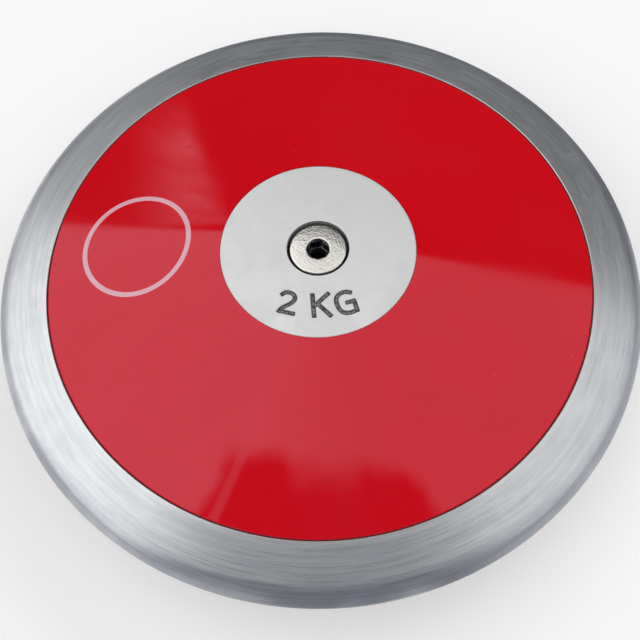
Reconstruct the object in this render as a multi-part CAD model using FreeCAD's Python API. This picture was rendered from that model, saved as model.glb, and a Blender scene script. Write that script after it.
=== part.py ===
import FreeCAD, Part
import math
import os

# A 2 kg competition discus, in millimetres.
#
# A turned steel rim carries most of the mass. Two identical moulded side plates, ribbed inside, drop into
# rebates in the rim and taper up to two flat metal centre plates. A sleeve nut and a shoulder bolt, both
# with flat heads sunk in the centre plates and driven by a hexagon key, clamp the whole stack on a hub
# spacer. Two steel trim weights in the stack bring the discus up to its weight.
#
# +Z is the axis of rotation and the origin is the discus's centre. The lower half is the upper half turned
# over about the X axis. Every height below is measured from the middle plane, for the upper half.

# Overall form
outer_diameter = 220.0
centre_thickness = 45.0
edge_radius = 6.25

# Steel rim
rim_face_width = 18.0
rim_edge_break = 0.3
flange_width = 8.5
flange_thickness = 10.0

# Edge seal, a thin upright ring in the joint between the rim and a side plate
seal_thickness = 0.35
seal_drop = 0.5

# Moulded side plates
plate_step_down = 0.15
plate_edge_break = 0.3
plate_wall = 3.0
spigot_wall = 2.4
spigot_depth = 3.0
spigot_clearance = 0.3
floor_thickness = 3.0
cup_wall = 3.0
rib_count = 8
rib_thickness = 2.0
rib_foot_height = 11.5
ring_rib_diameter = 120.0
ring_rib_depth = 5.0

# Metal centre plates
centre_plate_diameter = 64.0
centre_plate_thickness = 5.0
centre_plate_clearance = 0.12
centre_plate_edge_break = 0.25
head_pocket_diameter = 20.2

# Sleeve nut and bolt
head_diameter = 18.6
head_thickness = 2.2
head_edge_break = 0.5
head_sunk = 0.4
barrel_diameter = 9.0
barrel_clearance = 0.2
bolt_shoulder_length = 7.0
barrel_end_gap = 1.0
thread_bore = 5.2
thread_clearance = 0.05
bolt_shank_length = 20.0
bolt_end_chamfer = 0.6
key_across_flats = 6.0
key_socket_depth = 4.5
key_mouth_diameter = 7.6
key_socket_turn = 12.0

# Hub stack between the side plates' floors
backing_washer_diameter = 40.0
backing_washer_thickness = 1.5
trim_weight_diameter = 56.0
trim_weight_thickness = 1.6
spacer_diameter = 20.0

# Radii and heights that the sizes above give
outer_radius = outer_diameter / 2
half_thickness = centre_thickness / 2
centre_plate_radius = centre_plate_diameter / 2
recess_radius = centre_plate_radius + centre_plate_clearance
cup_radius = recess_radius + cup_wall
edge_centre_radius = outer_radius - edge_radius
shoulder_radius = outer_radius - rim_face_width
flange_radius = shoulder_radius - flange_width
land_height = flange_thickness / 2
plate_radius = shoulder_radius - seal_thickness
spigot_radius = flange_radius - spigot_clearance
spigot_bottom = land_height - spigot_depth
floor_top = half_thickness - centre_plate_thickness
floor_bottom = floor_top - floor_thickness
washer_bottom = floor_bottom - backing_washer_thickness
spacer_end = washer_bottom - trim_weight_thickness
head_top = half_thickness - head_sunk
head_seat = head_top - head_thickness
barrel_radius = barrel_diameter / 2
hub_hole_radius = barrel_radius + barrel_clearance
bolt_shoulder_end = head_seat - bolt_shoulder_length

# The flank is the straight line from the centre plate's edge that is tangent to the rim's round edge.
flank_run = edge_centre_radius - recess_radius
flank_angle = math.atan2(half_thickness, flank_run) - math.asin(
    edge_radius / math.hypot(flank_run, half_thickness)
)
flank_slope = math.tan(flank_angle)
tangent_radius = edge_centre_radius + edge_radius * math.sin(flank_angle)
tangent_height = edge_radius * math.cos(flank_angle)

# The side plate's own face starts level with the centre plate and ends a small step below the rim.
plate_slope = flank_slope + plate_step_down / (plate_radius - recess_radius)
plate_drop = plate_wall / math.cos(math.atan(plate_slope))


def flank_height(radius):
    """Height of the rim's straight flank at a radius."""
    return half_thickness - (radius - recess_radius) * flank_slope


def face_height(radius):
    """Height of a side plate's outer face at a radius."""
    return half_thickness - (radius - recess_radius) * plate_slope


def rib_height(radius):
    """Height of the radial ribs' lower edge, which runs straight from the cup down to the spigot."""
    share = (radius - cup_radius) / (spigot_radius - cup_radius)
    return rib_foot_height + share * (spigot_bottom - rib_foot_height)


def at(radius, height):
    return FreeCAD.Vector(radius, 0, height)


def outline(start, *steps):
    """A closed face in the XZ plane. A step is the next corner, or an arc's middle point and end point."""
    edges = []
    here = start
    for step in steps + (start,):
        if isinstance(step[0], tuple):
            middle, end = step
            edges.append(Part.Arc(at(*here), at(*middle), at(*end)).toShape())
        else:
            end = step
            edges.append(Part.LineSegment(at(*here), at(*end)).toShape())
        here = end
    return Part.Face(Part.Wire(edges))


def turned(start, *steps):
    """The solid that an outline sweeps in one turn about the Z axis."""
    return outline(start, *steps).revolve(FreeCAD.Vector(), FreeCAD.Vector(0, 0, 1), 360)


def ring(hole_radius, radius, bottom, top):
    return turned((hole_radius, bottom), (radius, bottom), (radius, top), (hole_radius, top))


def turned_over(shape):
    """The same piece in the lower half of the discus."""
    copy = shape.copy()
    copy.rotate(FreeCAD.Vector(), FreeCAD.Vector(1, 0, 0), 180)
    return copy


def make_rim():
    """The steel ring: full round edge, two flanks, a rebate on each side and the flange between them."""
    broken_shoulder = shoulder_radius + rim_edge_break
    shoulder_top = flank_height(shoulder_radius) - rim_edge_break
    return turned(
        (shoulder_radius, land_height),
        (shoulder_radius, shoulder_top),
        (broken_shoulder, flank_height(broken_shoulder)),
        (tangent_radius, tangent_height),
        ((outer_radius, 0), (tangent_radius, -tangent_height)),
        (broken_shoulder, -flank_height(broken_shoulder)),
        (shoulder_radius, -shoulder_top),
        (shoulder_radius, -land_height),
        (flange_radius, -land_height),
        (flange_radius, land_height),
    )


def make_edge_seal():
    """The black ring that fills the joint round a side plate, to a little below the rim's flank."""
    return ring(plate_radius, shoulder_radius, land_height, flank_height(shoulder_radius) - seal_drop)


def plate_shell():
    """A side plate's turned section: cone, seat, spigot, and the cup that holds the centre plate."""
    spigot_inside = spigot_radius - spigot_wall
    break_start = plate_radius - plate_edge_break
    return turned(
        (hub_hole_radius, floor_bottom),
        (hub_hole_radius, floor_top),
        (recess_radius, floor_top),
        (recess_radius, half_thickness),
        (break_start, face_height(break_start)),
        (plate_radius, face_height(plate_radius) - plate_edge_break),
        (plate_radius, land_height),
        (spigot_radius, land_height),
        (spigot_radius, spigot_bottom),
        (spigot_inside, spigot_bottom),
        (spigot_inside, face_height(spigot_inside) - plate_drop),
        (cup_radius, face_height(cup_radius) - plate_drop),
        (cup_radius, floor_bottom),
    )


def radial_rib():
    """One straight rib under the cone, from the cup to the spigot. Its ends and top lie inside the walls."""
    inner = cup_radius - cup_wall / 2
    outer = spigot_radius - spigot_wall / 2
    foot = max(rib_height(cup_radius), floor_bottom)
    section = outline(
        (inner, foot),
        (cup_radius, foot),
        (outer, rib_height(outer)),
        (outer, face_height(outer) - plate_drop / 2),
        (inner, face_height(inner) - plate_drop / 2),
    )
    rib = section.extrude(FreeCAD.Vector(0, rib_thickness, 0))
    rib.translate(FreeCAD.Vector(0, -rib_thickness / 2, 0))
    return rib


def ring_rib():
    """The round rib under the cone. Its top lies inside the wall."""
    inner = (ring_rib_diameter - rib_thickness) / 2
    outer = (ring_rib_diameter + rib_thickness) / 2
    bottom = face_height(outer) - plate_drop - ring_rib_depth
    return turned(
        (inner, bottom),
        (outer, bottom),
        (outer, face_height(outer) - plate_drop / 2),
        (inner, face_height(inner) - plate_drop / 2),
    )


def make_side_plate():
    """The moulded plate with its web of ribs."""
    ribs = [ring_rib()]
    for number in range(rib_count):
        rib = radial_rib()
        rib.rotate(FreeCAD.Vector(), FreeCAD.Vector(0, 0, 1), 360.0 * (number + 0.5) / rib_count)
        ribs.append(rib)
    return plate_shell().fuse(ribs).removeSplitter()


def make_centre_plate():
    """The flat metal disc set flush in the side plate, with the pocket that the head sinks into."""
    pocket_radius = head_pocket_diameter / 2
    edge = centre_plate_edge_break
    return turned(
        (hub_hole_radius, floor_top),
        (centre_plate_radius, floor_top),
        (centre_plate_radius, half_thickness - edge),
        (centre_plate_radius - edge, half_thickness),
        (pocket_radius + edge, half_thickness),
        (pocket_radius, half_thickness - edge),
        (pocket_radius, head_seat),
        (hub_hole_radius, head_seat),
    )


def head():
    """The flat head that the sleeve nut and the bolt share, before its socket is cut."""
    radius = head_diameter / 2
    return turned(
        (0, head_seat),
        (radius, head_seat),
        (radius, head_top - head_edge_break),
        (radius - head_edge_break, head_top),
        (0, head_top),
    )


def key_socket():
    """The hexagon that the key goes into, with its countersunk mouth."""
    corner_radius = key_across_flats / math.sqrt(3)
    corners = []
    for number in range(7):
        angle = math.radians(60 * number + key_socket_turn)
        corners.append(
            FreeCAD.Vector(
                corner_radius * math.cos(angle),
                corner_radius * math.sin(angle),
                head_top - key_socket_depth,
            )
        )
    prism = Part.Face(Part.makePolygon(corners)).extrude(FreeCAD.Vector(0, 0, key_socket_depth))
    flat_radius = key_across_flats / 2
    mouth_depth = key_mouth_diameter / 2 - flat_radius
    mouth = turned(
        (0, head_top - mouth_depth),
        (flat_radius, head_top - mouth_depth),
        (flat_radius + mouth_depth, head_top),
        (0, head_top),
    )
    return prism.fuse(mouth)


def make_sleeve_nut():
    """The upper head on its long barrel, which centres the upper plates. Its thread is left plain."""
    barrel = ring(0, barrel_radius, barrel_end_gap - bolt_shoulder_end, head_seat)
    bore = Part.makeCylinder(thread_bore / 2, centre_thickness, FreeCAD.Vector(0, 0, -half_thickness))
    return head().fuse(barrel).removeSplitter().cut([bore, key_socket()])


def make_bolt():
    """The lower head, on a shoulder that centres the lower plates, with the shank that screws up into the
    sleeve nut. It is made in the upper half and turned over."""
    shank_radius = thread_bore / 2 - thread_clearance
    tip = bolt_shoulder_end - bolt_shank_length
    stem = turned(
        (0, tip),
        (shank_radius - bolt_end_chamfer, tip),
        (shank_radius, tip + bolt_end_chamfer),
        (shank_radius, bolt_shoulder_end),
        (barrel_radius, bolt_shoulder_end),
        (barrel_radius, head_seat),
        (0, head_seat),
    )
    return turned_over(head().fuse(stem).removeSplitter().cut(key_socket()))


def make_backing_washer():
    """The steel washer that spreads the clamping force over a side plate's floor."""
    return ring(hub_hole_radius, backing_washer_diameter / 2, washer_bottom, floor_bottom)


def make_trim_weight():
    """The steel disc clamped under a backing washer, whose thickness sets the discus's weight."""
    return ring(hub_hole_radius, trim_weight_diameter / 2, spacer_end, washer_bottom)


def make_hub_spacer():
    """The tube between the two trim weights. It sets the discus's thickness when the bolt is tight."""
    return ring(hub_hole_radius, spacer_diameter / 2, -spacer_end, spacer_end)


pieces = {
    "rim": make_rim(),
    "sleeve_nut": make_sleeve_nut(),
    "centre_bolt": make_bolt(),
    "hub_spacer": make_hub_spacer(),
}
upper_pieces = {
    "side_plate": make_side_plate(),
    "edge_seal": make_edge_seal(),
    "centre_plate": make_centre_plate(),
    "backing_washer": make_backing_washer(),
    "trim_weight": make_trim_weight(),
}
for name, shape in upper_pieces.items():
    pieces["upper_" + name] = shape
    pieces["lower_" + name] = turned_over(shape)

os.makedirs("parts", exist_ok=True)
for name, shape in pieces.items():
    shape.exportStep("parts/" + name + ".step")
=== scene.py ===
from math import cos, radians, sin

import bpy
import numpy as np
from mathutils import Matrix


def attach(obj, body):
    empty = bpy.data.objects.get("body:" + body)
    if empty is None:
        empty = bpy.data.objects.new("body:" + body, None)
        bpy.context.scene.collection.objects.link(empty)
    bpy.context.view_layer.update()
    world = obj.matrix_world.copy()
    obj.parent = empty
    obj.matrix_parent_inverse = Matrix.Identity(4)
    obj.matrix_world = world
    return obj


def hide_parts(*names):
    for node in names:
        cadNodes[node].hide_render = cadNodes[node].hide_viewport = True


# A 2 kg discus lying on a white floor, seen from above. Sizes are in millimetres, unless a name or a note
# says otherwise.
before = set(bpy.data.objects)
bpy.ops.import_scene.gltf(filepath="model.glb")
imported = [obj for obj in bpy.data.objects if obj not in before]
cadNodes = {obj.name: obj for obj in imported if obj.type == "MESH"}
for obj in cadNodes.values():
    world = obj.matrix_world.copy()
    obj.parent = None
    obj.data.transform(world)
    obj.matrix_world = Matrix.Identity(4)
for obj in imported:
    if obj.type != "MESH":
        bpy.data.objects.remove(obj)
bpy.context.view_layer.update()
mm = 0.001
print("frame loaded,", len(cadNodes), "nodes")


# Camera
camera = {
    "distance": 319.2,      # from the discus's centre
    "elevation": 62.024,    # degrees above the middle plane
    "tilt": -2.477,         # degrees, aim below the centre
    "pan": 0.069,
    "roll": -2.463,
    "lens": 51.607,
    "sensor": 36.0,
    "clipStart": 0.01,      # metres
}


def addObject(name, data):
    obj = bpy.data.objects.new(name, data)
    bpy.context.scene.collection.objects.link(obj)
    return obj


def addCamera():
    data = bpy.data.cameras.new("camera")
    data.lens = camera["lens"]
    data.sensor_width = camera["sensor"]
    data.clip_start = camera["clipStart"]
    obj = addObject("camera", data)
    swing = Matrix.Rotation(radians(90 - camera["elevation"]), 4, "X")
    place = swing @ Matrix.Translation((0, 0, camera["distance"] * mm))
    for turn, axis in (("tilt", "X"), ("pan", "Y"), ("roll", "Z")):
        place = place @ Matrix.Rotation(radians(camera[turn]), 4, axis)
    obj.matrix_world = place
    bpy.context.scene.camera = obj


addCamera()
print("camera placed")


# Surfaces from numpy grids

# Faces between neighbouring points of a grid. Joining a side closes the grid on itself that way.
def gridFaces(points, joinRows, joinColumns):
    rows, columns = points.shape[:2]
    index = np.arange(rows * columns).reshape(rows, columns)
    if joinRows:
        index = np.vstack([index, index[:1]])
    if joinColumns:
        index = np.hstack([index, index[:, :1]])
    corners = [index[:-1, :-1], index[1:, :-1], index[1:, 1:], index[:-1, 1:]]
    return np.stack(corners, -1).reshape(-1, 4)


# Six times the volume that the faces enclose, negative when they point inwards.
def signedVolume(points, faces):
    a, b, c, d = (points[faces[:, k]] for k in range(4))
    return np.einsum("ij,ij->", a, np.cross(b, c)) + np.einsum("ij,ij->", a, np.cross(c, d))


# A mesh object from points in millimetres. Points that coincide, as at a pole, are merged.
def meshObject(name, points, faces, marks=None, sharpAngle=34):
    points = points.reshape(-1, 3)
    if signedVolume(points, faces) < 0:
        faces = faces[:, ::-1]
    _, first, merged = np.unique(np.round(points, 5), axis=0, return_index=True, return_inverse=True)
    merged = merged.reshape(-1)
    points = points[first]
    faces = merged[faces]
    same = faces == np.roll(faces, -1, axis=1)
    quads = faces[~same.any(axis=1)]
    pinched = faces[same.sum(axis=1) == 1]
    keep = ~(pinched == np.roll(pinched, -1, axis=1))
    triangles = pinched[keep].reshape(-1, 3)
    loops = np.concatenate([quads.reshape(-1), triangles.reshape(-1)])
    starts = np.concatenate([np.arange(len(quads)) * 4, len(quads) * 4 + np.arange(len(triangles)) * 3])
    mesh = bpy.data.meshes.new(name)
    mesh.vertices.add(len(points))
    mesh.vertices.foreach_set("co", (points * mm).astype(np.float32).reshape(-1))
    mesh.loops.add(len(loops))
    mesh.loops.foreach_set("vertex_index", loops.astype(np.int32))
    mesh.polygons.add(len(starts))
    mesh.polygons.foreach_set("loop_start", starts.astype(np.int32))
    mesh.update(calc_edges=True)
    mesh.validate()
    mesh.polygons.foreach_set("use_smooth", np.ones(len(mesh.polygons), bool))
    mesh.set_sharp_from_angle(angle=radians(sharpAngle))
    for key, values in (marks or {}).items():
        layer = mesh.attributes.new(key, "FLOAT", "POINT")
        layer.data.foreach_set("value", values.reshape(-1)[first].astype(np.float32))
    return addObject(name, mesh)


# A turned section round its closed loop of corners: (radius, height, rounding). Each rounding is an arc of
# five steps, with one more point a little beyond each of its ends, so that flat faces stay flat to their
# edges when smoothed. The arc's middle lies on the corner's bisector, rounding over sin(half angle) away.
def section(corners, arcPoints=6, margin=0.12):
    line = []
    for k, (r, z, rounding) in enumerate(corners):
        here = np.array([r, z])
        if rounding == 0:
            line.append(here)
            continue
        before = np.array(corners[k - 1][:2]) - here
        after = np.array(corners[(k + 1) % len(corners)][:2]) - here
        before = before / np.linalg.norm(before)
        after = after / np.linalg.norm(after)
        half = np.arccos(np.clip(before @ after, -1, 1)) / 2
        setback = rounding / np.tan(half)
        middle = here + (before + after) / np.linalg.norm(before + after) * rounding / np.sin(half)
        start = here + before * setback
        end = here + after * setback
        share = np.linspace(0, 1, arcPoints)[:, None]
        spokes = (start - middle) * (1 - share) + (end - middle) * share
        line.append(start + before * margin)
        line.extend(middle + spokes / np.linalg.norm(spokes, axis=1)[:, None] * rounding)
        line.append(end + after * margin)
    return np.array(line)


# Radii and heights carried round the axis: x = radius cos(angle), y = radius sin(angle), z = height.
def aroundAxis(radius, height, angles):
    turn = angles[:, None]
    return np.stack([radius * np.cos(turn), radius * np.sin(turn), height + 0 * turn], -1)


def turnedPoints(line, angles):
    return aroundAxis(line[None, :, 0], line[None, :, 1], angles)


def evenAngles(count):
    return np.linspace(0, 2 * np.pi, count, endpoint=False)


# Half a turn about the X axis: y and z change sign.
def turnedOver(points):
    return points * np.array([1.0, -1.0, -1.0])


# Rides on the discus, takes its finish from a slot and stands for its CAD node.
def fitPiece(obj, node, material):
    obj.data.materials.append(material)
    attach(obj, "root")
    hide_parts(node)
    print("built", obj.name, len(obj.data.polygons), "faces")


# Shader building blocks

# A node with its own settings, such as its operation.
def addNode(tree, kind, **values):
    node = tree.nodes.new(kind)
    for key, value in values.items():
        setattr(node, key, value)
    return node


# A number, vector or colour becomes the socket's own value, and another node's result is linked to it.
def join(tree, term, socket):
    if isinstance(term, tuple) and socket.type == "RGBA":
        term = term + (1.0,)
    if isinstance(term, (int, float, tuple)):
        socket.default_value = term
    else:
        tree.links.new(term, socket)


# Inputs by name, with an underscore for each space.
def feed(tree, node, **terms):
    for key, term in terms.items():
        join(tree, term, node.inputs[key.replace("_", " ")])
    return node


def calc(tree, operation, *terms):
    node = addNode(tree, "ShaderNodeMath", operation=operation)
    for socket, term in zip(node.inputs, terms):
        join(tree, term, socket)
    return node.outputs[0]


def plus(tree, first, second):
    return calc(tree, "ADD", first, second)


def minus(tree, first, second):
    return calc(tree, "SUBTRACT", first, second)


def times(tree, first, second):
    return calc(tree, "MULTIPLY", first, second)


def calcVector(tree, operation, *terms):
    node = addNode(tree, "ShaderNodeVectorMath", operation=operation)
    for socket, term in zip(node.inputs, terms):
        join(tree, term, socket)
    return node.outputs["Value" if operation in ("LENGTH", "DOT_PRODUCT") else "Vector"]


def splitVector(tree, vector):
    return feed(tree, addNode(tree, "ShaderNodeSeparateXYZ"), Vector=vector).outputs


# The part of the coordinates that lies across the axis, and the distance from the axis.
def fromAxis(tree, coords):
    flat = calcVector(tree, "MULTIPLY", coords, (1, 1, 0))
    return flat, calcVector(tree, "LENGTH", flat)


def addNoise(tree, coords, **values):
    return feed(tree, addNode(tree, "ShaderNodeTexNoise"), Vector=coords, **values).outputs["Fac"]


# A value that the mesh carries at its points.
def pointValue(tree, name):
    return addNode(tree, "ShaderNodeAttribute", attribute_name=name).outputs["Fac"]


# A value run from one range to another with soft ends.
def remap(tree, value, fromMin, fromMax, toMin=0.0, toMax=1.0):
    node = addNode(tree, "ShaderNodeMapRange", interpolation_type="SMOOTHSTEP")
    feed(tree, node, Value=value, From_Min=fromMin, From_Max=fromMax, To_Min=toMin, To_Max=toMax)
    return node.outputs["Result"]


def mixColor(tree, factor, first, second):
    node = addNode(tree, "ShaderNodeMix", data_type="RGBA")
    for place, term in ((0, factor), (6, first), (7, second)):
        join(tree, term, node.inputs[place])
    return node.outputs[2]


# A tone turned towards a colour, by a share of a mask.
def tint(tree, tone, mask, share, color):
    return mixColor(tree, times(tree, mask, share), tone, color)


def newGroup(name, inputs, outputs):
    group = bpy.data.node_groups.new(name, "ShaderNodeTree")
    for label, kind, value in inputs:
        socket = group.interface.new_socket(label, in_out="INPUT", socket_type="NodeSocket" + kind)
        if value is not None:
            socket.default_value = value
    for label in outputs:
        group.interface.new_socket(label, in_out="OUTPUT", socket_type="NodeSocketFloat")
    start = group.nodes.new("NodeGroupInput")
    end = group.nodes.new("NodeGroupOutput")
    return group, start.outputs, end.inputs


# Tool marks of a lathe: fine rings that run round the axis and fade in and out along their length.
def turnedMarksGroup():
    group, given, wanted = newGroup(
        "turnedMarks",
        [("Vector", "Vector", None), ("Rings", "Float", 4000.0), ("Breaks", "Float", 3.0)],
        ["Lines", "Tone"],
    )
    flat, radius = fromAxis(group, given["Vector"])
    way = splitVector(group, calcVector(group, "NORMALIZE", flat))
    height = splitVector(group, given["Vector"])["Z"]
    for label, fineness, stretch in (("Lines", 1.0, 1.0), ("Tone", 0.3, 0.32)):
        rings = times(group, given["Rings"], fineness)
        around = times(group, given["Breaks"], stretch)
        spread = addNode(group, "ShaderNodeCombineXYZ")
        feed(group, spread, X=times(group, radius, rings))
        feed(group, spread, Y=times(group, way["X"], around), Z=times(group, way["Y"], around))
        noise = addNode(group, "ShaderNodeTexNoise", noise_dimensions="4D")
        feed(group, noise, Vector=spread.outputs[0], W=times(group, height, rings), Scale=1.0, Detail=3.0)
        group.links.new(noise.outputs["Fac"], wanted[label])
    return group


# Hairline scratches in two directions, and the broad smudges that handling leaves.
def handlingMarksGroup():
    group, given, wanted = newGroup(
        "handlingMarks",
        [("Vector", "Vector", None), ("Scratch Size", "Float", 60.0), ("Smudge Size", "Float", 14.0)],
        ["Scratches", "Smudges"],
    )
    strands = []
    for turn, stretch, cut in ((37, 16, 0.70), (-58, 22, 0.71)):
        mapping = addNode(group, "ShaderNodeMapping")
        feed(group, mapping, Vector=given["Vector"], Rotation=(0, 0, radians(turn)), Scale=(1, stretch, 1))
        noise = addNoise(group, mapping.outputs[0], Scale=given["Scratch Size"], Detail=2.0, Distortion=0.6)
        strands.append(remap(group, noise, cut, cut + 0.05))
    group.links.new(calc(group, "MAXIMUM", *strands), wanted["Scratches"])
    size = given["Smudge Size"]
    cloud = addNoise(group, given["Vector"], Scale=size, Detail=4.0, Roughness=0.6, Distortion=0.4)
    group.links.new(remap(group, cloud, 0.35, 0.72), wanted["Smudges"])
    return group


# Sparse specks of dust, some larger than others.
def dustGroup():
    group, given, wanted = newGroup(
        "dustSpecks", [("Vector", "Vector", None), ("Density", "Float", 260.0)], ["Specks"]
    )
    cells = addNode(group, "ShaderNodeTexVoronoi")
    feed(group, cells, Vector=given["Vector"], Scale=given["Density"])
    draw = feed(group, addNode(group, "ShaderNodeSeparateColor"), Color=cells.outputs["Color"])
    size = remap(group, draw.outputs[0], 0.72, 1.0, 0.0, 0.12)
    inside = minus(group, size, cells.outputs["Distance"])
    group.links.new(remap(group, inside, 0.0, 0.03), wanted["Specks"])
    return group


# A band at one radius along a round edge, broken up by noise. It marks the rim's wear, the painted shade on
# its outer edge and a darker ring on the centre plate.
def edgeWearGroup():
    inputs = [("Vector", "Vector", None), ("Radius", "Float", 0.1), ("Width", "Float", 0.001)]
    group, given, wanted = newGroup("edgeWear", inputs + [("Breakup", "Float", 300.0)], ["Wear"])
    radius = fromAxis(group, given["Vector"])[1]
    away = calc(group, "ABSOLUTE", minus(group, radius, given["Radius"]))
    near = remap(group, calc(group, "DIVIDE", away, given["Width"]), 0.0, 1.0, 1.0, 0.0)
    noise = addNoise(group, given["Vector"], Scale=given["Breakup"], Detail=3.0)
    patchy = remap(group, noise, 0.3, 0.55, 0.25, 1.0)
    group.links.new(times(group, near, patchy), wanted["Wear"])
    return group


turnedMarks = turnedMarksGroup()
handlingMarks = handlingMarksGroup()
dustSpecks = dustGroup()
edgeWear = edgeWearGroup()
print("shader groups made")


def useGroup(tree, group, coords, **values):
    return feed(tree, addNode(tree, "ShaderNodeGroup", node_tree=group), Vector=coords, **values).outputs


# A new material: its tree, its surface shader and the piece's own coordinates, in metres.
def startMaterial(name, **values):
    material = bpy.data.materials.new(name)
    material.use_nodes = True
    tree = material.node_tree
    surface = feed(tree, tree.nodes["Principled BSDF"], **values)
    coords = addNode(tree, "ShaderNodeTexCoord").outputs["Object"]
    return material, tree, surface, coords


# Fine relief in metres under the surface's normal.
def relief(tree, surface, height, depth):
    bump = feed(tree, addNode(tree, "ShaderNodeBump"), Height=height, Strength=1.0, Distance=depth)
    feed(tree, surface, Normal=bump.outputs[0])


# Brushing runs round the axis: the tangent follows it, and a quarter turn on the surface's own socket
# stretches the highlight across it.
def brushAround(tree, surface, coords):
    around = calcVector(tree, "CROSS_PRODUCT", (0, 0, 1), coords)
    feed(tree, surface, Tangent=calcVector(tree, "NORMALIZE", around))


# Steel rim
rim = {
    "outerRadius": 110.0,
    "edgeRadius": 6.25,
    "shoulderRadius": 92.0,
    "flangeRadius": 83.5,
    "landHeight": 5.0,
    "centrePlateRadius": 32.12,
    "halfThickness": 22.5,
    "chamfer": 0.18,
    "flangeRounding": 0.4,
    "shoulderRounding": 0.15,
    "lipRounding": 0.06,
    "arcRadius": 6.11,
    "blend": 4.0,           # length over which the flank bends into the arc
    "turns": 480,
    "edgeSteps": 26,
}


# The flank's fall below level. Its line leaves the centre plate's edge at half the thickness and touches
# the edge's circle: the angle down to the circle's middle, less the arc sine of radius over distance.
def flankAngle():
    run = rim["outerRadius"] - rim["edgeRadius"] - rim["centrePlateRadius"]
    rise = rim["halfThickness"]
    return np.arctan2(rise, run) - np.arcsin(rim["edgeRadius"] / np.hypot(run, rise))


# Half the thickness less the way out from the centre plate times the fall's tangent.
def flankHeight(radius):
    return rim["halfThickness"] - (radius - rim["centrePlateRadius"]) * np.tan(flankAngle())


# Half the round edge, from the middle plane up. Along the arc the surface turns evenly with the way along
# it, and over the blend it turns less and less. Radius and height add up the angle's sine and cosine.
def edgeLine():
    blend = rim["blend"]
    arc = rim["arcRadius"] * (np.pi / 2 - flankAngle()) - blend / 2
    way = np.linspace(0, arc + blend, rim["edgeSteps"])
    past = np.clip(way - arc, 0, None)
    angle = (way - past ** 2 / (2 * blend)) / rim["arcRadius"]
    step = way[1] - way[0]
    fall = np.cumsum(np.sin(angle[:-1]) + np.sin(angle[1:])) * step / 2
    rise = np.cumsum(np.cos(angle[:-1]) + np.cos(angle[1:])) * step / 2
    return rim["outerRadius"] - np.append(0, fall), np.append(0, rise)


# Half the section, from the flange's bore over the land, the flank and the round edge, then its mirror
# image.
def buildRim(material):
    shoulder = rim["shoulderRadius"]
    chamfer = rim["chamfer"]
    lip = rim["lipRounding"]
    half = [
        (rim["flangeRadius"], rim["landHeight"], rim["flangeRounding"]),
        (shoulder, rim["landHeight"], rim["shoulderRounding"]),
        (shoulder, flankHeight(shoulder) - chamfer, lip),
        (shoulder + chamfer, flankHeight(shoulder + chamfer), lip),
    ]
    half += [(r, z, 0) for r, z in zip(*edgeLine())][::-1]
    corners = half + [(r, -z, c) for r, z, c in half[-2::-1]]
    points = turnedPoints(section(corners), evenAngles(rim["turns"]))
    faces = gridFaces(points, True, True)
    fitPiece(meshObject("steelRim", points, faces), "rim", material)


rimFinish = {
    "lineRange": (0.38, 0.62),
    "lines": ((0.765, 0.79, 0.82), (0.835, 0.85, 0.87)),
    "patches": ((0.66, 0.685, 0.72), (0.90, 0.91, 0.93)),
    "patchShare": 0.46,
    "shadeTone": (0.42, 0.43, 0.45),
    "shadeFrom": (0.074, 0.096),     # metres from the X axis, where the coarse dark marks fade in
    "stripes": 0.42,
    "shadeBlotches": 0.28,
    "smudge": (0.52, 0.54, 0.57),
    "smudges": 0.16,
    "bare": (0.93, 0.93, 0.93),
    "jointWear": 0.45,
    "edge": (0.34, 0.355, 0.40),
    "edgeWear": 0.8,
    "roughness": (0.43, 0.34),
    "relief": 0.00006,              # metres
}


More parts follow.
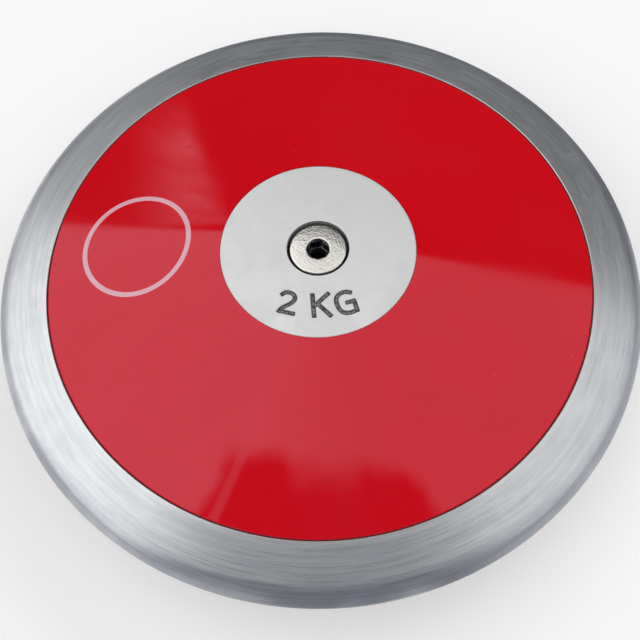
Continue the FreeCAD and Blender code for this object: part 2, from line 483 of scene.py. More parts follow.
def rimSteel():
    f = rimFinish
    material, tree, surface, coords = startMaterial(
        "rimSteel", Metallic=1.0, Anisotropic=0.6, Anisotropic_Rotation=0.25
    )
    rings = useGroup(tree, turnedMarks, coords, Rings=2600.0, Breaks=13.0)
    fine = useGroup(tree, turnedMarks, coords, Rings=3700.0, Breaks=36.0)
    coarse = useGroup(tree, turnedMarks, coords, Rings=1900.0, Breaks=4.5)
    hands = useGroup(tree, handlingMarks, coords, Scratch_Size=90.0, Smudge_Size=60.0)
    bright = useGroup(tree, edgeWear, coords, Radius=0.09215, Width=0.0004, Breakup=90.0)
    joint = useGroup(tree, edgeWear, coords, Radius=0.0922, Width=0.0032, Breakup=40.0)
    edge = useGroup(tree, edgeWear, coords, Radius=0.1100, Width=0.0070, Breakup=28.0)
    lines = plus(tree, times(tree, rings["Lines"], 0.5), times(tree, fine["Lines"], 0.5))
    tone = mixColor(tree, remap(tree, lines, *f["lineRange"]), *f["lines"])
    patches = mixColor(tree, remap(tree, rings["Tone"], 0.35, 0.65), *f["patches"])
    tone = mixColor(tree, f["patchShare"], tone, patches)
    # painted shade: the coarse dark marks show on the near and the far side only, where they stand in for
    # the darker surroundings that the rim mirrors there
    sideways = calc(tree, "ABSOLUTE", splitVector(tree, coords)["Y"])
    shadedSides = remap(tree, sideways, *f["shadeFrom"])
    stripes = times(tree, remap(tree, coarse["Lines"], 0.49, 0.62), shadedSides)
    tone = tint(tree, tone, stripes, f["stripes"], f["shadeTone"])
    shadeBlotches = times(tree, remap(tree, coarse["Tone"], 0.48, 0.66), shadedSides)
    tone = tint(tree, tone, shadeBlotches, f["shadeBlotches"], f["shadeTone"])
    tone = tint(tree, tone, hands["Smudges"], f["smudges"], f["smudge"])
    tone = tint(tree, tone, joint["Wear"], f["jointWear"], f["bare"])
    # painted shade: the outer round edge is darkened all round, standing in for the dark surroundings that
    # it mirrors
    tone = tint(tree, tone, edge["Wear"], f["edgeWear"], f["edge"])
    tone = mixColor(tree, bright["Wear"], tone, f["bare"])
    rough = remap(tree, lines, *f["lineRange"], *f["roughness"])
    rough = plus(tree, rough, times(tree, hands["Smudges"], 0.05))
    feed(tree, surface, Base_Color=tone, Roughness=rough)
    cut = minus(tree, lines, times(tree, hands["Scratches"], 0.2))
    relief(tree, surface, cut, f["relief"])
    brushAround(tree, surface, coords)
    return material


buildRim(rimSteel())


# Red side plates
printedRing = {
    "centreX": -61.0,
    "centreY": 8.2,
    "outerRadius": 19.5,
    "line": 1.7,
    "soft": 0.1,
    "ink": (0.78, 0.46, 0.53),
    "inkShare": 0.92,
}
redFinish = {
    "tint": (0.77, 0.73, 0.95),     # of its highlights
    "red": ((0.655, 0.0006, 0.0065), (0.63, 0.0006, 0.006)),
    "dust": (0.70, 0.45, 0.45),
    "dustShare": 0.06,
    "roughness": (0.045, 0.10),
    "relief": 0.000002,             # metres
}


# How far a point lies from the printed ring's middle. The ring lies on the cone, so the way outwards, here
# close to X, is stretched by one over the cosine of the flank's fall.
def ringDistance(tree, place):
    outwards = minus(tree, place["X"], printedRing["centreX"] * mm)
    outwards = times(tree, outwards, 1 / np.cos(flankAngle()))
    aside = minus(tree, place["Y"], printedRing["centreY"] * mm)
    squares = plus(tree, times(tree, outwards, outwards), times(tree, aside, aside))
    return calc(tree, "SQRT", squares)


def redPlastic():
    f = redFinish
    material, tree, surface, coords = startMaterial("redPlastic", IOR=1.66, Specular_Tint=f["tint"])
    hands = useGroup(tree, handlingMarks, coords, Scratch_Size=70.0, Smudge_Size=22.0)
    dust = useGroup(tree, dustSpecks, coords, Density=300.0)
    place = splitVector(tree, coords)
    half = printedRing["line"] / 2
    off = minus(tree, ringDistance(tree, place), (printedRing["outerRadius"] - half) * mm)
    soft = printedRing["soft"]
    ink = remap(tree, calc(tree, "ABSOLUTE", off), (half - soft) * mm, (half + soft) * mm, 1.0, 0.0)
    ink = times(tree, ink, calc(tree, "GREATER_THAN", place["Z"], 0.0))
    color = mixColor(tree, hands["Smudges"], *f["red"])
    color = tint(tree, color, ink, printedRing["inkShare"], printedRing["ink"])
    color = tint(tree, color, dust["Specks"], f["dustShare"], f["dust"])
    rough = remap(tree, hands["Smudges"], 0.0, 1.0, *f["roughness"])
    rough = plus(tree, rough, times(tree, hands["Scratches"], 0.08))
    feed(tree, surface, Base_Color=color, Roughness=rough)
    height = minus(tree, times(tree, dust["Specks"], 0.3), hands["Scratches"])
    relief(tree, surface, height, f["relief"])
    return material


red = redPlastic()
for half in ("upper", "lower"):
    cadNodes[half + "_side_plate"].data.materials[0] = red
print("side plates coated")


# Centre plates
centrePlate = {
    "radius": 32.0,
    "thickness": 5.0,
    "top": 22.5,
    "edgeRounding": 0.25,
    "bottomRounding": 0.3,
    "holeRounding": 0.2,
    "floorRounding": 0.1,
    "pocketRadius": 10.1,
    "pocketFloor": 19.9,
    "holeRadius": 4.7,
    "turns": 240,
    "wallStart": 0.3,       # the pocket's wall begins this far over its floor
    "wallEnd": 0.24,        # and ends this far under the top
    "pocketWall": 0.45,     # how dark the wall is, of 1 for the floor
}
# The weight mark, stamped stroke by stroke: each letter's strokes are in its own frame, in millimetres.
stamp = {
    "depth": 0.45,
    "halfWidth": 0.74,
    "wall": 0.22,                       # width over which the face drops to a stroke's floor
    "tipRounding": 0.32,
    "sector": (-134.0, -46.0, 0.26),    # degrees: from, to, step
    "reach": (14.6, 27.0, 0.11),        # radius: from, to, step
    "coarseTurns": 150,
    "inkEdge": 0.12,                    # over which a stroke's dark fill fades out
    "floorEdge": 0.34,                  # the same for the speckled floor of a stroke
    "letters": [
        {
            "centre": (-10.5, -19.4),
            "turn": -16,
            "strokes": [
                [(-2.2, 2.7), (-1.5, 3.5), (-0.1, 3.8), (1.3, 3.4), (2.1, 2.3), (1.9, 0.9), (0.6, -0.5),
                 (-1.3, -2.2), (-1.8, -3.3)],
                [(-1.5, -3.3), (2.7, -3.3)],
            ],
        },
        {
            "centre": (0.3, -20.9),
            "turn": 3,
            "strokes": [
                [(-2.5, 3.9), (-2.6, -3.3)],
                [(-2.0, 0.3), (2.4, 3.9)],
                [(-1.2, 0.9), (2.5, -3.6)],
            ],
        },
        {
            "centre": (8.2, -20.2),
            "turn": 15,
            "strokes": [
                [(2.2, 3.1), (1.2, 3.7), (-0.5, 3.8), (-2.2, 3.0), (-2.9, 1.7), (-3.0, -0.4), (-2.6, -2.2),
                 (-1.4, -3.5), (0.5, -3.8), (2.5, -3.5)],
                [(2.5, -3.5), (2.6, -0.1), (0.4, -0.1)],
            ],
        },
    ],
}


# Corners of a stroke cut twice at a quarter and three quarters of each side, which rounds it.
def roundedStroke(stroke):
    line = np.array(stroke, float)
    if len(line) > 3:
        for _ in range(2):
            cut = np.stack([line[:-1] * 0.75 + line[1:] * 0.25, line[:-1] * 0.25 + line[1:] * 0.75], 1)
            line = np.vstack([line[:1], cut.reshape(-1, 2), line[-1:]])
    return line


# Distance to a stroke's square end with rounded tips: the half width less the rounding, plus the length of
# what lies past that in both directions.
def squareReach(beyond, aside):
    core = stamp["halfWidth"] - stamp["tipRounding"]
    return core + np.hypot(np.clip(beyond - core, 0, None), np.clip(aside - core, 0, None))


# Distance of each point to the nearest stroke of the mark. Past a stroke's two ends it is measured to a
# rounded square instead of a circle.
def strokeDistance(x, y):
    nearest = np.full(x.shape, 99.0)
    for letter in stamp["letters"]:
        turn = radians(letter["turn"])
        dx = x - letter["centre"][0]
        dy = y - letter["centre"][1]
        u = dx * np.cos(turn) + dy * np.sin(turn)
        v = dy * np.cos(turn) - dx * np.sin(turn)
        for stroke in letter["strokes"]:
            line = roundedStroke(stroke)
            last = len(line) - 2
            for k in range(last + 1):
                length = np.linalg.norm(line[k + 1] - line[k])
                along = (line[k + 1] - line[k]) / length
                ahead = (u - line[k, 0]) * along[0] + (v - line[k, 1]) * along[1]
                aside = np.abs((v - line[k, 1]) * along[0] - (u - line[k, 0]) * along[1])
                before = np.clip(-ahead, 0, None)
                past = np.clip(ahead - length, 0, None)
                away = np.hypot(before + past, aside)
                if k == 0:
                    away = np.where(before > 0, squareReach(before, aside), away)
                if k == last:
                    away = np.where(past > 0, squareReach(past, aside), away)
                nearest = np.minimum(nearest, away)
    return nearest


# Three times the square less twice the cube, from 0 to 1.
def smoothStep(value):
    value = np.clip(value, 0, 1)
    return value * value * (3 - 2 * value)


# The plate's section carried round the axis. Where it is stamped, the grid is finer, and the top face drops
# by the stamp's depth inside a stroke.
def centrePlatePoints(stamped):
    p = centrePlate
    bottom = p["top"] - p["thickness"]
    corners = [
        (p["holeRadius"], bottom, p["holeRounding"]),
        (p["radius"], bottom, p["bottomRounding"]),
        (p["radius"], p["top"], p["edgeRounding"]),
        (p["pocketRadius"], p["top"], p["edgeRounding"]),
        (p["pocketRadius"], p["pocketFloor"], p["floorRounding"]),
        (p["holeRadius"], p["pocketFloor"], p["holeRounding"]),
    ]
    line = section(corners)
    angles = evenAngles(p["turns"])
    if stamped:
        first, last, step = stamp["sector"]
        fine = np.arange(first, last, step)
        coarse = np.linspace(last, first + 360, stamp["coarseTurns"])[:-1]
        angles = np.radians(np.concatenate([fine, coarse]))
        inner, outer, gap = stamp["reach"]
        rows = np.arange(outer, inner, -gap)
        face = np.stack([rows, np.full(len(rows), p["top"])], -1)
        flat = np.isclose(line[:, 1], p["top"])
        before = np.flatnonzero(flat & (line[:, 0] > outer)).max()
        line = np.vstack([line[:before + 1], face, line[before + 1:]])
    points = turnedPoints(line, angles)
    grimeAndShade = np.zeros(points.shape[:2])
    floor = np.zeros(points.shape[:2])
    # painted shade: the pocket round the bolt's head takes the dark fill, its wall at a share
    pocket = (line[:, 0] < p["pocketRadius"] + 0.15) & (line[:, 1] < p["top"] - 0.04)
    wall = (line[:, 1] > p["pocketFloor"] + p["wallStart"]) & (line[:, 1] < p["top"] - p["wallEnd"])
    grimeAndShade[:, pocket] = np.where(wall[pocket], p["pocketWall"], 1.0)
    if stamped:
        onTop = np.isclose(line[:, 1], p["top"]) & (line[:, 0] > inner - 1) & (line[:, 0] < outer + 1)
        away = strokeDistance(points[:, onTop, 0], points[:, onTop, 1]) - stamp["halfWidth"]
        points[:, onTop, 2] -= stamp["depth"] * smoothStep(0.5 - away / stamp["wall"])
        grimeAndShade[:, onTop] = smoothStep(0.35 - away / stamp["inkEdge"])
        floor[:, onTop] = smoothStep(-0.3 - away / stamp["floorEdge"])
    return points, grimeAndShade, floor


def buildCentrePlates(material):
    for half, stamped in (("upper", True), ("lower", False)):
        points, grimeAndShade, floor = centrePlatePoints(stamped)
        if half == "lower":
            points = turnedOver(points)
        faces = gridFaces(points, True, True)
        obj = meshObject(half + "CentrePlate", points, faces, {"grimeAndShade": grimeAndShade, "strokeFloor": floor}, 75)
        fitPiece(obj, half + "_centre_plate", material)


plateFinish = {
    "metal": ((0.94, 0.94, 0.94), (0.88, 0.88, 0.885)),
    "edge": (0.45, 0.47, 0.45),
    "edgeWear": 0.25,
    "scratch": (0.62, 0.62, 0.62),
    "scratches": 0.2,
    "grime": ((0.025, 0.025, 0.028), (0.27, 0.27, 0.28)),
    "recessShade": (0.014, 0.014, 0.016),
    "metallic": (0.65, 0.25),       # bare, and in the dark marks
    "roughness": (0.42, 0.52),
    "relief": 0.000006,             # metres
}


def plateAluminium():
    f = plateFinish
    material, tree, surface, coords = startMaterial("plateAluminium")
    rings = useGroup(tree, turnedMarks, coords, Rings=2600.0, Breaks=2.0)
    hands = useGroup(tree, handlingMarks, coords, Scratch_Size=110.0, Smudge_Size=70.0)
    edgeRing = useGroup(tree, edgeWear, coords, Radius=0.0320, Width=0.0007, Breakup=260.0)
    specks = addNoise(tree, coords, Scale=2100.0, Detail=2.0)
    mark = pointValue(tree, "grimeAndShade")
    deep = pointValue(tree, "strokeFloor")
    color = mixColor(tree, hands["Smudges"], *f["metal"])
    # a darker ring along the plate's outer edge, broken up by noise
    color = tint(tree, color, edgeRing["Wear"], f["edgeWear"], f["edge"])
    color = tint(tree, color, hands["Scratches"], f["scratches"], f["scratch"])
    grime = mixColor(tree, remap(tree, specks, 0.36, 0.64), *f["grime"])
    # painted shade: at the strokes' walls and over the whole pocket the dark fill is near black; the
    # speckled grime stays on the strokes' floors
    grime = mixColor(tree, deep, f["recessShade"], grime)
    color = mixColor(tree, mark, color, grime)
    rough = remap(tree, hands["Smudges"], 0.0, 1.0, *f["roughness"])
    rough = plus(tree, rough, times(tree, mark, 0.1))
    metallic = remap(tree, mark, 0.0, 1.0, *f["metallic"])
    feed(tree, surface, Base_Color=color, Metallic=metallic, Roughness=rough)
    height = minus(tree, times(tree, rings["Lines"], 0.3), hands["Scratches"])
    relief(tree, surface, height, f["relief"])
    return material


buildCentrePlates(plateAluminium())


# Sleeve nut and bolt
fastener = {
    "headRadius": 9.3,
    "headTop": 22.1,
    "headSeat": 19.9,
    "headDome": 0.10,
    "edgeRounding": 0.45,
    "seatBreak": 0.15,
    "barrelRadius": 4.5,
    "nutBarrelEnd": -11.9,
    "boltShoulderEnd": 12.9,
    "boltTip": -7.1,
    "boreRadius": 2.6,
    "threadDepth": 0.35,
    "threadPitch": 1.0,
    "threadGap": 0.05,
    "threadStep": 0.1,      # height between two rows of the thread
    "socketFlats": 6.0,
    "socketDepth": 4.5,
    "mouthRadius": 3.8,
    "socketTurn": 12.0,     # degrees
    "domeRows": 14,
    "edgeRows": 8,
    "turns": 192,
}


# Radius of the hexagon's wall at an angle: half the width across flats over the cosine of the angle from
# the middle of the nearest flat.
def socketRadius(angles):
    fromFlat = np.mod(angles - radians(fastener["socketTurn"]), np.pi / 3) - np.pi / 6
    return fastener["socketFlats"] / 2 / np.cos(fromFlat)


# One thread form for both pieces: a rounded saw of radius that climbs one pitch in each turn.
def threadRise(height, angles):
    phase = np.mod(height / fastener["threadPitch"] - angles / (2 * np.pi), 1.0)
    return fastener["threadDepth"] * smoothStep(1.15 - 2.6 * np.abs(phase - 0.5))


# The head, from the socket's floor up its wall, over the dome, down the rounded edge to its seat. The dome
# falls with the square of the way out, and the edge is a quarter circle: sine outwards, cosine upwards.
def headRows(angles):
    f = fastener
    wall = socketRadius(angles)
    floor = f["headTop"] - f["socketDepth"]
    rows = [(wall * 0.999, floor), (wall, floor + 0.1)]
    lip = f["headTop"] - (f["mouthRadius"] - wall)
    for share in (0.5, 0.9, 1.0):
        rows.append((wall, floor + (lip - floor) * share))
    for share in (0.5, 0.95, 1.0):
        rows.append((wall + (f["mouthRadius"] - wall) * share, lip + (f["headTop"] - 0.03 - lip) * share))
    edge = f["headRadius"] - f["edgeRounding"]
    for radius in np.linspace(f["mouthRadius"] + 0.12, edge, f["domeRows"]):
        share = (radius - f["mouthRadius"]) / (edge - f["mouthRadius"])
        rows.append((radius, f["headTop"] - f["headDome"] * share ** 2))
    shoulder = f["headTop"] - f["headDome"] - f["edgeRounding"]
    for turn in np.linspace(0, np.pi / 2, f["edgeRows"])[1:]:
        radius = edge + f["edgeRounding"] * np.sin(turn)
        rows.append((radius, shoulder + f["edgeRounding"] * np.cos(turn)))
    rows.append((f["headRadius"], f["headSeat"] + f["seatBreak"]))
    rows.append((f["headRadius"] - f["seatBreak"], f["headSeat"]))
    return rows


# Where shade is painted: 1 in the socket, its mouth and the bore, less on the ledge where the socket ends,
# 0 outside.
def recessMark(points):
    f = fastener
    radius = np.hypot(points[..., 0], points[..., 1])
    ledge = np.abs(np.abs(points[..., 2]) - f["headTop"] + f["socketDepth"]) < 0.05
    return np.where(radius < f["mouthRadius"] - 0.02, 1 - 0.6 * ledge, 0.0)


# Each row is a radius and a height, either of them one number or one for each angle.
def rowsToPoints(rows, angles):
    radius = np.stack([row[0] + 0 * angles for row in rows], 1)
    height = np.stack([row[1] + 0 * angles for row in rows], 1)
    return aroundAxis(radius, height, angles)


def fastenerAngles():
    return evenAngles(fastener["turns"]) + radians(fastener["socketTurn"])


# The nut's grid runs round one closed loop: socket, head, barrel, then up the threaded bore.
def buildSleeveNut(material):
    f = fastener
    angles = fastenerAngles()
    end = f["nutBarrelEnd"]
    rows = headRows(angles)
    rows.append((f["barrelRadius"] + 0.1, f["headSeat"]))
    rows.append((f["barrelRadius"], f["headSeat"] - 0.1))
    rows.append((f["barrelRadius"], end + 0.5))
    rows.append((f["barrelRadius"] - 0.4, end))
    rows.append((f["boreRadius"] + f["threadDepth"] + 0.1, end))
    top = f["headTop"] - f["socketDepth"]
    for height in np.arange(end + 0.3, top - 0.5, f["threadStep"]):
        rows.append((f["boreRadius"] + threadRise(height, angles), height))
    rows.append((f["boreRadius"] + 0.1, top - 0.25))
    rows.append((f["boreRadius"] + 0.3, top))
    points = rowsToPoints(rows, angles)
    faces = gridFaces(points, True, True)
    obj = meshObject("sleeveNut", points, faces, {"recess": recessMark(points)})
    fitPiece(obj, "sleeve_nut", material)


# The bolt's grid runs from the middle of the socket's floor over the head and shoulder, down the threaded
# shank and to the middle of its tip.
def buildCentreBolt(material):
    f = fastener
    angles = fastenerAngles()
    floor = f["headTop"] - f["socketDepth"]
    rows = [(0.0, floor - 0.5), (socketRadius(angles) * 0.8, floor - 0.1)] + headRows(angles)
    rows.append((f["barrelRadius"] + 0.1, f["headSeat"]))
    rows.append((f["barrelRadius"], f["headSeat"] - 0.1))
    rows.append((f["barrelRadius"], f["boltShoulderEnd"] + 0.4))
    rows.append((f["barrelRadius"] - 0.4, f["boltShoulderEnd"]))
    core = f["boreRadius"] - f["threadGap"]
    rows.append((core + 0.1, f["boltShoulderEnd"]))
    for height in np.arange(f["boltShoulderEnd"] - 0.4, f["boltTip"] + 0.7, -f["threadStep"]):
        # turned over, height and angle both change sign, so the thread still climbs with the nut's
        rows.append((core + threadRise(-height, -angles), height))
    rows.append((core - 0.2, f["boltTip"] + 0.3))
    rows.append((core - 0.6, f["boltTip"]))
    rows.append((0.0, f["boltTip"]))
    points = turnedOver(rowsToPoints(rows, angles))
    faces = gridFaces(points, True, False)
    obj = meshObject("centreBolt", points, faces, {"recess": recessMark(points)})
    fitPiece(obj, "centre_bolt", material)


platedFinish = {
    "tone": ((0.90, 0.87, 0.82), (0.98, 0.955, 0.91)),
    "smudge": (0.78, 0.75, 0.70),
    "smudges": 0.25,
    "socketShade": ((0.05, 0.052, 0.06), (0.12, 0.118, 0.12)),
    "roughness": (0.07, 0.12),
    "relief": 0.000056,             # metres
}


def platedSteel():
    f = platedFinish
    material, tree, surface, coords = startMaterial(
        "platedSteel", Metallic=1.0, Anisotropic=0.3, Anisotropic_Rotation=0.25
    )
    rings = useGroup(tree, turnedMarks, coords, Rings=2300.0, Breaks=5.0)
    hands = useGroup(tree, handlingMarks, coords, Scratch_Size=260.0, Smudge_Size=160.0)
    recess = pointValue(tree, "recess")
    tone = mixColor(tree, rings["Tone"], *f["tone"])
    tone = tint(tree, tone, hands["Smudges"], f["smudges"], f["smudge"])
    # painted shade: the socket, its mouth and the bore turn near black, less so on the ledge
    tone = mixColor(tree, recess, tone, mixColor(tree, hands["Smudges"], *f["socketShade"]))
    rough = remap(tree, rings["Lines"], 0.3, 0.7, *f["roughness"])
    rough = plus(tree, rough, times(tree, recess, 0.2))
    feed(tree, surface, Base_Color=tone, Roughness=rough)
    cut = minus(tree, rings["Lines"], times(tree, hands["Scratches"], 0.4))
    relief(tree, surface, cut, f["relief"])
    brushAround(tree, surface, coords)
    return material


plated = platedSteel()
buildSleeveNut(plated)
buildCentreBolt(plated)


# Finishes of the pieces that keep their CAD mesh
sealFinish = {
    "rubber": ((0.010, 0.010, 0.011), (0.022, 0.022, 0.024)),
    "dust": (0.2, 0.19, 0.18),
    "dustShare": 0.3,
    "roughness": (0.55, 0.75),
    "relief": 0.00003,              # metres
}
hubFinish = {
    "hubAluminium": {"tone": ((0.70, 0.70, 0.71), (0.80, 0.80, 0.81)), "roughness": (0.30, 0.40)},
    "washerSteel": {"tone": ((0.50, 0.51, 0.53), (0.62, 0.62, 0.62)), "roughness": (0.25, 0.35)},
    "relief": 0.000012,             # metres
}


def sealRubber():
    f = sealFinish
    material, tree, surface, coords = startMaterial("sealRubber", IOR=1.5)
    grain = addNoise(tree, coords, Scale=1800.0, Detail=3.0)
    dust = useGroup(tree, dustSpecks, coords, Density=500.0)
    color = tint(tree, mixColor(tree, grain, *f["rubber"]), dust["Specks"], f["dustShare"], f["dust"])
    feed(tree, surface, Base_Color=color, Roughness=remap(tree, grain, 0.3, 0.7, *f["roughness"]))
    relief(tree, surface, grain, f["relief"])
    return material


def hubMetal(name):
    f = hubFinish[name]
    material, tree, surface, coords = startMaterial(name, Metallic=1.0)
    rings = useGroup(tree, turnedMarks, coords, Rings=2200.0, Breaks=2.0)
    hands = useGroup(tree, handlingMarks, coords, Scratch_Size=120.0, Smudge_Size=50.0)
    rough = remap(tree, rings["Lines"], 0.3, 0.7, *f["roughness"])
    rough = plus(tree, rough, times(tree, hands["Smudges"], 0.1))
    feed(tree, surface, Base_Color=mixColor(tree, rings["Tone"], *f["tone"]), Roughness=rough)
    relief(tree, surface, rings["Lines"], hubFinish["relief"])
    return material


rubber = sealRubber()
washerMetal = hubMetal("washerSteel")
cadNodes["hub_spacer"].data.materials[0] = hubMetal("hubAluminium")
for half in ("upper", "lower"):
    cadNodes[half + "_edge_seal"].data.materials[0] = rubber
    for name in ("_backing_washer", "_trim_weight"):
        cadNodes[half + name].data.materials[0] = washerMetal
print("hub pieces coated")


# Floor and studio, in metres
studio = {
    "floorZ": -0.0225,
    "floorReach": 3.6,
    "floorColor": 0.80,
    "floorGlow": 0.22,          # what the camera sees on top of the lit floor, so that it reads as white
    "floorFade": (0.7, 2.4),    # from here to here it turns from lit paper to plain white
    "ceiling": 1.5,
    "ceilingReach": 4.5,
    "edgeMiddle": 0.95,         # where the light ends on the far side, over the middle
    "edgeSlant": -0.38,
    "edgeRight": 0.84,
    "edgeSoft": 0.035,
    "ceilingLevel": 0.668,      # on the right
    "ceilingRise": 0.47,        # times the square of the way to the left of riseFrom, in metres
    "riseFrom": 0.5,
    "riseReach": 0.85,
    "clouds": 0.14,
    "cloudScale": 5.0,
    "sideLevel": 0.57,          # on top of it, far out on both sides
    "sideFrom": (1.8, 2.4),
    "stripX": (-1.2, 0.18, -0.99, 0.055),   # a strip of light past the edge: from, to, with softnesses
    "stripY": (1.44, 0.05, 2.75, 0.4),
    "stripCloud": (0.35, 0.62),
    "stripLevel": (0.45, 0.85),
    "beyond": 0.062,            # the unlit ceiling's level
    "wallColor": (0.103, 0.114, 0.139),
    "around": 0.4,              # the world's level where neither the camera nor a mirror looks at it
    "roundSteps": 96,
    "wallSteps": 48,
    "fillSize": 2.6,
    "fillPower": 46.0,          # watts
    "fillPlace": (0.9, 1.3, 1.45),
    "fillTurn": (-47, 0, -34),  # degrees, from straight down towards the discus
}


def stageObject(name, points, faces, material, seenByCamera=False):
    mesh = bpy.data.meshes.new(name)
    mesh.from_pydata(points.reshape(-1, 3).tolist(), [], faces.tolist())
    mesh.materials.append(material)
    obj = addObject(name, mesh)
    obj.visible_camera = seenByCamera
    return obj


def mirrorOnly(obj):
    obj.visible_diffuse = False
    obj.visible_shadow = False
    obj.visible_transmission = False


# 1 where the camera, a mirror or glass looks at it, 0 for light that falls on other things.
def lookedAt(tree):
    path = addNode(tree, "ShaderNodeLightPath")
    seen = calc(tree, "MAXIMUM", path.outputs["Is Camera Ray"], path.outputs["Is Glossy Ray"])
    return calc(tree, "MAXIMUM", seen, path.outputs["Is Transmission Ray"])


# The shader where the cover is 1, and nothing where it is 0.
def letThrough(tree, shader, cover):
    clear = addNode(tree, "ShaderNodeBsdfTransparent")
    mix = addNode(tree, "ShaderNodeMixShader")
    for socket, term in zip(mix.inputs, (cover, clear.outputs[0], shader)):
        tree.links.new(term, socket)
    feed(tree, tree.nodes["Material Output"], Surface=mix.outputs[0])


# A flat rectangle that faces down.
def rectangle(left, right, near, far, height):
    x = np.array([left, left, right, right])
    y = np.array([near, far, far, near])
    return np.stack([x, y, np.full(4, height)], 1), np.array([[0, 1, 2, 3]])


def addFloor():
    s = studio
    material, tree, surface, coords = startMaterial(
        "floorPaper", Roughness=0.9, Specular_IOR_Level=0.0, Emission_Color=(1, 1, 1)
    )
    away = remap(tree, calcVector(tree, "LENGTH", coords), *s["floorFade"])
    paper = mixColor(tree, away, (s["floorColor"],) * 3, (0, 0, 0))
    glow = plus(tree, times(tree, away, 1 - s["floorGlow"]), s["floorGlow"])
    feed(tree, surface, Base_Color=paper, Emission_Strength=times(tree, lookedAt(tree), glow))
    # clear from below, so that the underside can be seen
    below = addNode(tree, "ShaderNodeNewGeometry").outputs["Backfacing"]
    letThrough(tree, surface.outputs[0], minus(tree, 1.0, below))
    count = s["roundSteps"]
    points = turnedPoints(np.array([[s["floorReach"], s["floorZ"]]]), evenAngles(count))
    stageObject("floor", points, np.arange(count).reshape(1, count), material, True)


# A material that only glows: its tree, its shader and its coordinates.
def emitter(name):
    material, tree, surface, coords = startMaterial(name)
    tree.nodes.remove(surface)
    glow = addNode(tree, "ShaderNodeEmission")
    feed(tree, tree.nodes["Material Output"], Surface=glow.outputs[0])
    return material, tree, glow, coords


# 1 inside a band of one coordinate, 0 outside it, with a soft edge on each side.
def band(tree, value, low, lowSoft, high, highSoft):
    rise = remap(tree, value, low - lowSoft, low + lowSoft)
    fall = remap(tree, value, high - highSoft, high + highSoft, 1.0, 0.0)
    return times(tree, rise, fall)


# A luminous ceiling, a little cloudy, brighter to the left and far out on both sides. It ends in a slanting
# edge on the far side, with one strip of light beyond it on the left.
def addCeiling():
    s = studio
    material, tree, glow, coords = emitter("ceilingLight")
    place = splitVector(tree, coords)
    x = place["X"]
    y = place["Y"]
    toLeft = calc(tree, "MAXIMUM", minus(tree, s["riseFrom"], x), 0.0)
    toLeft = calc(tree, "MINIMUM", toLeft, s["riseReach"])
    rise = times(tree, times(tree, toLeft, toLeft), s["ceilingRise"])
    sides = remap(tree, calc(tree, "ABSOLUTE", x), *s["sideFrom"], 0.0, s["sideLevel"])
    level = plus(tree, plus(tree, rise, s["ceilingLevel"]), sides)
    cloud = addNoise(tree, coords, Scale=s["cloudScale"], Detail=2.0)
    cloudy = times(tree, minus(tree, cloud, 0.5), s["clouds"])
    level = times(tree, level, plus(tree, cloudy, 1.0))
    edge = plus(tree, times(tree, x, s["edgeSlant"]), s["edgeMiddle"])
    past = minus(tree, y, calc(tree, "MAXIMUM", edge, s["edgeRight"]))
    lit = remap(tree, past, -s["edgeSoft"], s["edgeSoft"], 1.0, 0.0)
    strip = times(tree, band(tree, x, *s["stripX"]), band(tree, y, *s["stripY"]))
    strip = times(tree, strip, remap(tree, cloud, *s["stripCloud"], *s["stripLevel"]))
    lit = calc(tree, "MAXIMUM", lit, strip)
    feed(tree, glow, Strength=plus(tree, times(tree, level, lit), s["beyond"]))
    reach = s["ceilingReach"]
    points, faces = rectangle(-reach, reach, -reach, reach, s["ceiling"])
    stageObject("ceiling", points, faces, material)


def addWall():
    s = studio
    material, tree, glow, coords = emitter("wallLight")
    feed(tree, glow, Color=s["wallColor"])
    reach = s["ceilingReach"] - 0.1
    line = np.array([[reach, s["floorZ"]], [reach, s["ceiling"] + 0.1]])
    points = turnedPoints(line, evenAngles(s["wallSteps"]))
    stageObject("wall", points, gridFaces(points, True, False), material)


# A dark card low over the near side, seen by mirrors alone. Its sides spread towards its near end. Its far
# end has two lobes, a lighter part between them and one light streak in the left lobe.
shade = {
    "height": 0.29,
    "spreadFrom": -0.106,
    "spread": 9.0,                          # how much wider, for each metre nearer
    "left": (-0.116, 0.011),                # each side with the softness of its edge
    "right": (0.086, 0.012),
    "near": (-1.1, 0.05),
    "far": (-0.1005, 0.009),
    "lobe": (-0.066, 0.18, -0.113),         # the left lobe's middle and slope, the right lobe's far end
    "gap": (-0.036, 0.014, 0.034, 0.012),   # between the lobes: from, to, with softnesses
    "gapReach": (-0.121, 0.013),
    "gapShare": 0.8,
    "streak": (-0.118, 0.003, -0.106, 0.003),
    "streakLean": 0.65,
    "streakShare": 0.5,
    "streakFoot": -0.12,                    # how far from the axis the streak's lean starts
    "color": (0.075, 0.079, 0.092),
    "nearColor": (0.35, 0.365, 0.41),
    "nearFade": (-0.6, -0.25),              # from the one colour to the other
    "wobble": 0.018,
    "wobbleScale": 34.0,
    "card": (-1.0, 1.0, -1.2, 0.0),         # left, right, near and far
}


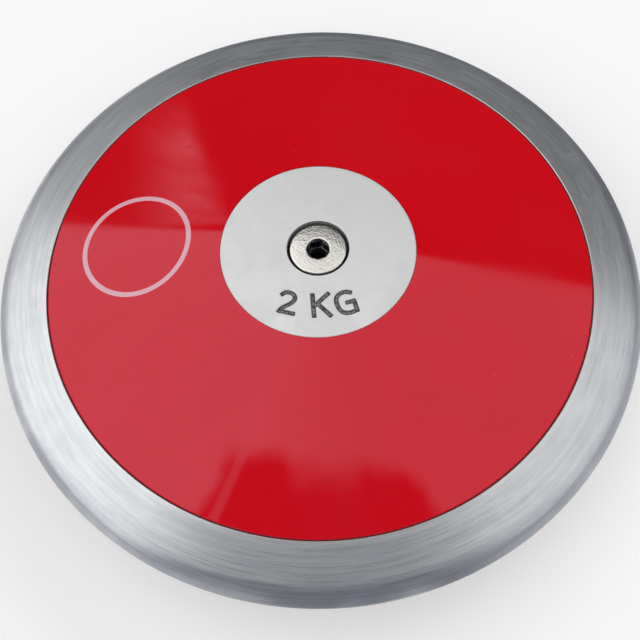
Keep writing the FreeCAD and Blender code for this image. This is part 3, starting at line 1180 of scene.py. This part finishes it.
def addShade():
    o = shade
    material, tree, glow, coords = emitter("shadeCard")
    place = splitVector(tree, coords)
    nearness = remap(tree, place["Y"], *o["nearFade"], 1.0, 0.0)
    feed(tree, glow, Color=mixColor(tree, nearness, o["color"], o["nearColor"]))
    lean = times(tree, minus(tree, place["Y"], o["streakFoot"]), o["streakLean"])
    streak = band(tree, minus(tree, place["X"], lean), *o["streak"])
    streak = times(tree, streak, o["streakShare"])
    # from here on the outline wobbles a little
    wobble = addNoise(tree, coords, Scale=o["wobbleScale"], Detail=2.0)
    shift = times(tree, minus(tree, wobble, 0.5), o["wobble"])
    x = plus(tree, place["X"], shift)
    y = plus(tree, place["Y"], shift)
    nearer = calc(tree, "MAXIMUM", minus(tree, o["spreadFrom"], y), 0.0)
    wider = plus(tree, times(tree, nearer, o["spread"]), 1.0)
    cover = band(tree, calc(tree, "DIVIDE", x, wider), *o["left"], *o["right"])
    middle, slope, rightEnd = o["lobe"]
    end, soft = o["far"]
    end = minus(tree, end, times(tree, minus(tree, x, middle), slope))
    end = calc(tree, "MAXIMUM", end, rightEnd)
    cover = times(tree, cover, remap(tree, minus(tree, y, end), -soft, soft, 1.0, 0.0))
    low, soft = o["near"]
    cover = times(tree, cover, remap(tree, y, low - soft, low))
    low, soft = o["gapReach"]
    gap = times(tree, band(tree, x, *o["gap"]), remap(tree, y, low - soft, low + soft))
    light = calc(tree, "MAXIMUM", times(tree, gap, o["gapShare"]), streak)
    letThrough(tree, glow.outputs[0], times(tree, cover, minus(tree, 1.0, light)))
    points, faces = rectangle(*o["card"], o["height"])
    mirrorOnly(stageObject("shadeCard", points, faces, material))


# Two dimmer stretches of floor, near and far, seen by mirrors alone. For each: azimuth of its middle,
# cosine of the angle from it where it begins and where it is full, and its colour.
dimFloor = {
    "height": -0.017,
    "inner": 0.120,
    "outer": 0.62,
    "near": (275, 0.84, 0.97, (0.38, 0.385, 0.40)),
    "far": (62, 0.48, 0.80, (0.23, 0.235, 0.25)),
}


def addDimFloor():
    d = dimFloor
    material, tree, glow, coords = emitter("dimFloor")
    flat, radius = fromAxis(tree, coords)
    covers = []
    for azimuth, start, full, _ in (d["near"], d["far"]):
        middle = (cos(radians(azimuth)), sin(radians(azimuth)), 0)
        along = calcVector(tree, "DOT_PRODUCT", flat, middle)
        covers.append(remap(tree, calc(tree, "DIVIDE", along, radius), start, full))
    feed(tree, glow, Color=mixColor(tree, covers[1], d["near"][3], d["far"][3]))
    letThrough(tree, glow.outputs[0], calc(tree, "MAXIMUM", *covers))
    count = studio["roundSteps"]
    line = np.array([[d["inner"], d["height"]], [d["outer"], d["height"]]])
    points = turnedPoints(line, evenAngles(count))
    mirrorOnly(stageObject("dimFloor", points, gridFaces(points, True, False), material))


# Plain light for the colours: mirrors don't see it.
def addFill():
    s = studio
    data = bpy.data.lights.new("fill", "AREA")
    data.shape = "SQUARE"
    data.size = s["fillSize"]
    data.energy = s["fillPower"]
    obj = addObject("fill", data)
    obj.location = s["fillPlace"]
    obj.rotation_euler = [radians(turn) for turn in s["fillTurn"]]
    obj.visible_camera = False
    obj.visible_glossy = False


def addWorld():
    world = bpy.data.worlds.new("world")
    bpy.context.scene.world = world
    world.use_nodes = True
    tree = world.node_tree
    level = plus(tree, times(tree, lookedAt(tree), 1 - studio["around"]), studio["around"])
    feed(tree, tree.nodes["Background"], Color=(1, 1, 1), Strength=level)


addFloor()
addCeiling()
addWall()
addShade()
addDimFloor()
addFill()
addWorld()
print("studio lit")


bpy.context.scene.view_settings.view_transform = "Standard"
